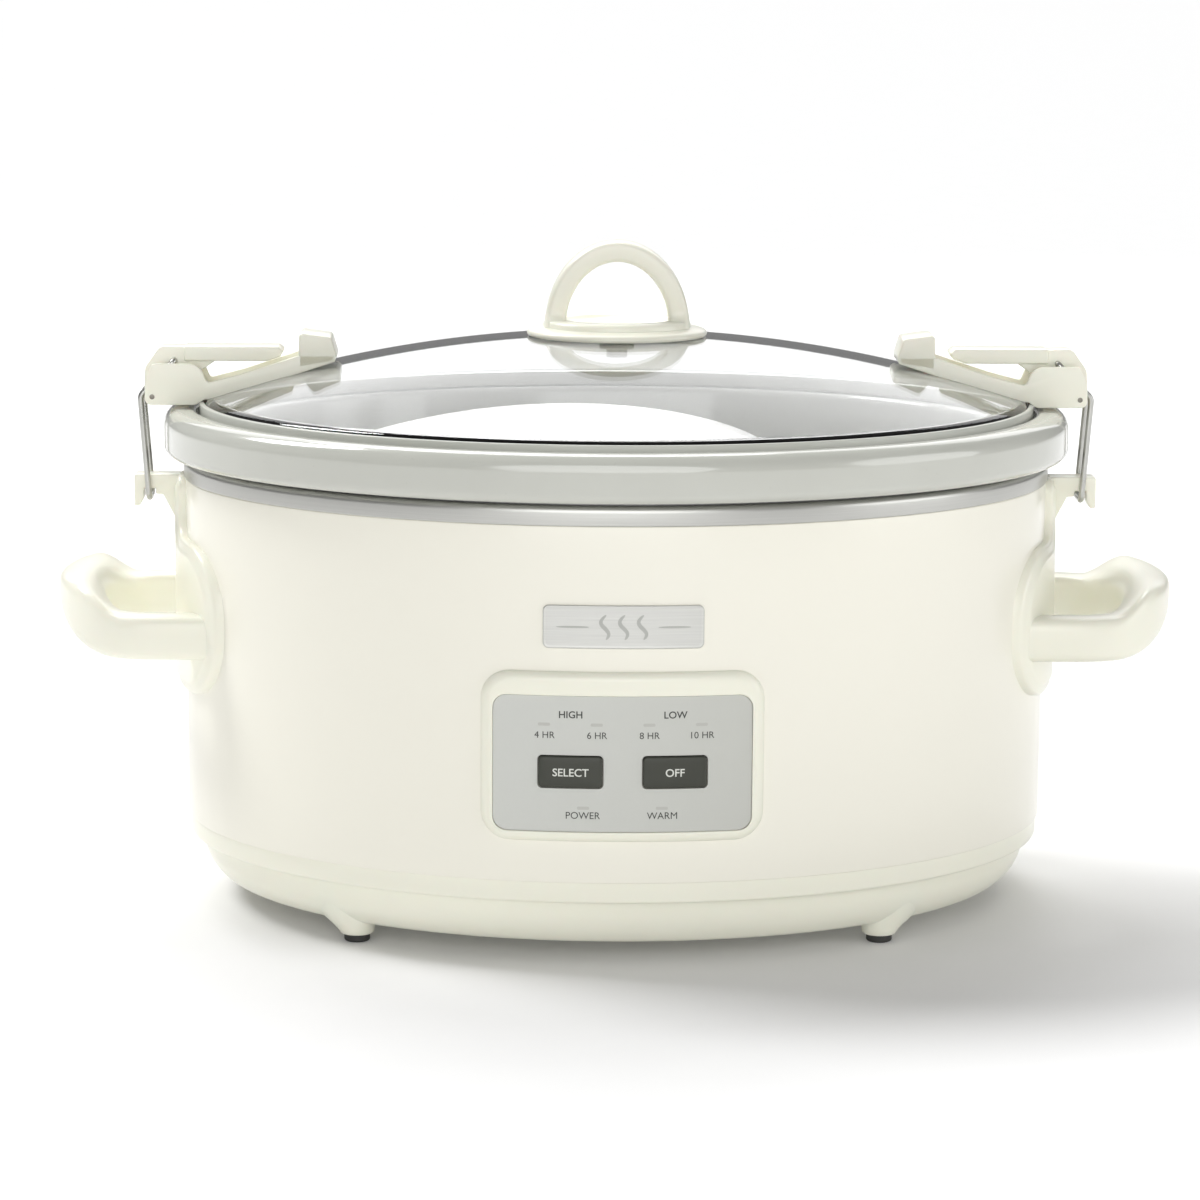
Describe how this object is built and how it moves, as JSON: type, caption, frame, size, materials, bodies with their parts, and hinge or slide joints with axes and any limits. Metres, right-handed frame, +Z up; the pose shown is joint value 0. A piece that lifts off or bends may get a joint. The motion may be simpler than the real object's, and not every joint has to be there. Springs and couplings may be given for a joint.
{
  "type": "slow cooker",
  "caption": "Oval programmable slow cooker with a loose stoneware crock, domed glass lid, wire-bail lid latches, carry handles and a front control panel.",
  "frame": {"origin": "centre of the bounding box's underside, on the surface that the feet stand on", "axes": "+X to the right along the long side, -Y to the front (control panel), +Z up"},
  "size_m": [0.445, 0.2891, 0.263],
  "materials": {
    "painted_shell": "gloss cream enamel",
    "cream_plastic": "satin cream moulding",
    "steel_band": "brushed round the rim",
    "steel_badge": "satin",
    "wire_steel": "drawn wire",
    "pin_steel": "turned",
    "well_metal": "satin",
    "heater_cover": "dull",
    "overlay_film": "fine satin grey",
    "window_plastic": "translucent",
    "button_plastic": "satin near black",
    "circuit_board": "varnished",
    "electronics": "dull black",
    "stoneware": "pale grey-green glaze",
    "lid_glass": "clear tempered",
    "silicone": "grey silicone",
    "foot_rubber": "matte black",
    "brass_nut": "zinc plated"
  },
  "bodies": {
    "base": {"badge_plate": "steel_badge", "base_pan": "cream_plastic", "centre_stud": "pin_steel", "control_board": "circuit_board", "control_overlay": "overlay_film", "cord_inlet": "electronics", "front_left_foot": "foot_rubber", "front_right_foot": "foot_rubber", "heat_shield": "well_metal", "heater_band": "heater_cover", "heating_well": "well_metal", "indicator_leds": "window_plastic", "indicator_windows": "window_plastic", "left_bracket": "cream_plastic", "left_carry_handle": "cream_plastic", "left_handle_screws": "pin_steel", "outer_shell": "painted_shell", "panel_bezel": "cream_plastic", "power_board": "circuit_board", "rear_left_foot": "foot_rubber", "rear_right_foot": "foot_rubber", "relay": "electronics", "right_bracket": "cream_plastic", "right_carry_handle": "cream_plastic", "right_handle_screws": "pin_steel", "steel_rim": "steel_band", "stud_nut": "brass_nut", "tactile_switches": "electronics", "thermal_fuse": "pin_steel"},
    "select_button": {"select_button": "button_plastic"},
    "off_button": {"off_button": "button_plastic"},
    "crock": {"stoneware_crock": "stoneware"},
    "lid": {"glass_lid": "lid_glass", "lid_gasket": "silicone", "lid_handle": "cream_plastic", "lid_handle_screw": "pin_steel", "handle_washer": "silicone", "left_clip_frame": "cream_plastic", "right_clip_frame": "cream_plastic", "left_lever_pin": "pin_steel", "right_lever_pin": "pin_steel"},
    "left_lever": {"left_lever": "cream_plastic"},
    "right_lever": {"right_lever": "cream_plastic"},
    "left_bail": {"left_bail": "wire_steel"},
    "right_bail": {"right_bail": "wire_steel"}
  },
  "joints": [
    {"name": "crock_lift", "type": "slide", "parent": "base", "child": "crock", "axis": [0, 0, 1], "range_m": [0, 0.15]},
    {"name": "lid_lift", "type": "slide", "parent": "crock", "child": "lid", "axis": [0, 0, 1], "range_m": [0, 0.12]},
    {"name": "select_press", "type": "slide", "parent": "base", "child": "select_button", "axis": [0, 1, 0], "range_m": [0, 0.0006], "stiffness_N_per_m": 600},
    {"name": "off_press", "type": "slide", "parent": "base", "child": "off_button", "axis": [0, 1, 0], "range_m": [0, 0.0006], "stiffness_N_per_m": 600},
    {"name": "left_lever_turn", "type": "hinge", "parent": "lid", "child": "left_lever", "pos_m": [-0.1845, 0, 0.2009], "axis": [0, -1, 0], "range_deg": [0, 105]},
    {"name": "left_bail_swing", "type": "hinge", "parent": "left_lever", "child": "left_bail", "pos_m": [-0.1758, 0, 0.2149], "axis": [0, -1, 0], "range_deg": [-78, 0]},
    {"name": "right_lever_turn", "type": "hinge", "parent": "lid", "child": "right_lever", "pos_m": [0.1845, 0, 0.2009], "axis": [0, 1, 0], "range_deg": [0, 105]},
    {"name": "right_bail_swing", "type": "hinge", "parent": "right_lever", "child": "right_bail", "pos_m": [0.1758, 0, 0.2149], "axis": [0, 1, 0], "range_deg": [-78, 0]}
  ],
  "couplings": [
    {"joint": "left_bail_swing", "follows": "left_lever_turn", "ratio": -0.72},
    {"joint": "right_bail_swing", "follows": "right_lever_turn", "ratio": -0.72}
  ]
}
